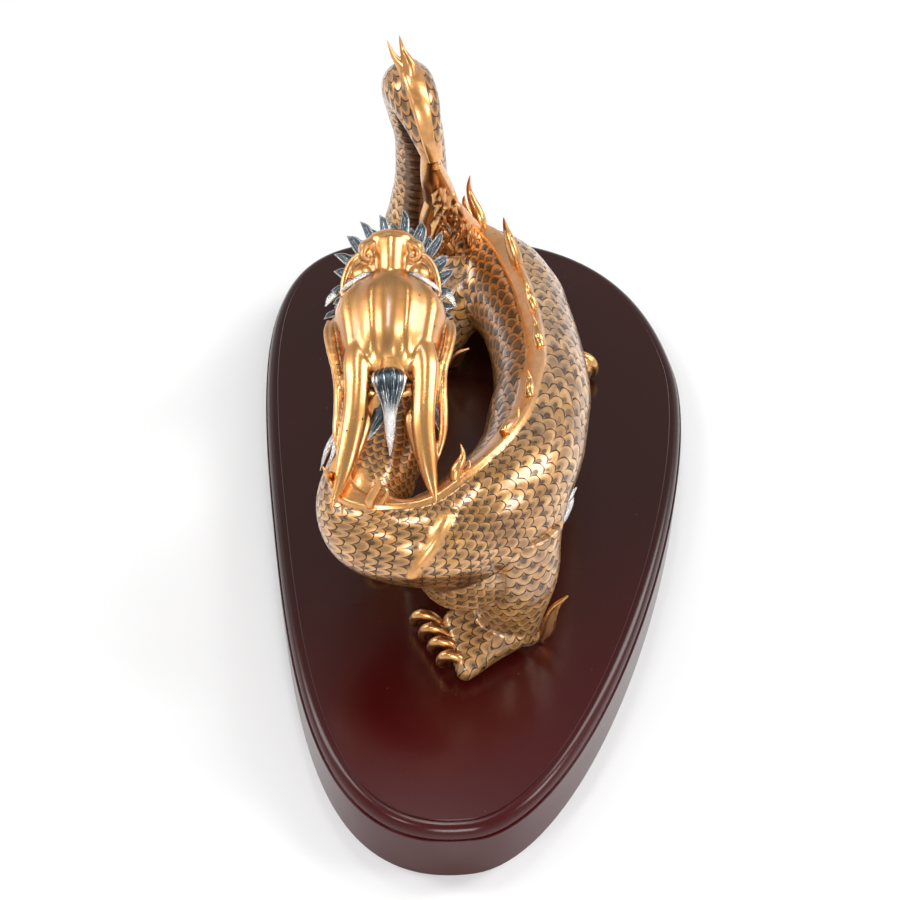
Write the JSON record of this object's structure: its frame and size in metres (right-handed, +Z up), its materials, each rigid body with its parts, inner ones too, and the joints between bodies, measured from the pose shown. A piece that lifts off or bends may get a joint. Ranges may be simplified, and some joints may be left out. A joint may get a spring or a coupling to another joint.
{
  "type": "dragon sculpture",
  "caption": "Gilded glazed porcelain dragon, its body coiled and head looking back over it, standing on an egg-shaped moulded wooden plinth.",
  "frame": {"origin": "centre of the plinth's underside", "axes": "+Z up; +Y along the plinth from its narrow end to its broad end, the way the dragon faces; +X to the dragon's right"},
  "size_m": [0.25, 0.455, 0.245],
  "materials": {
    "gilded_porcelain": "glossy metallic gold lustre over glaze, copper brown in the scales' outlines",
    "silvered_porcelain": "glossy silver lustre, blue grey in the hollows",
    "lacquered_wood": "dark red-brown gloss lacquer, satin on the sides"
  },
  "bodies": {
    "root": {"dragon": "gilded_porcelain", "plinth": "lacquered_wood"}
  },
  "joints": []
}
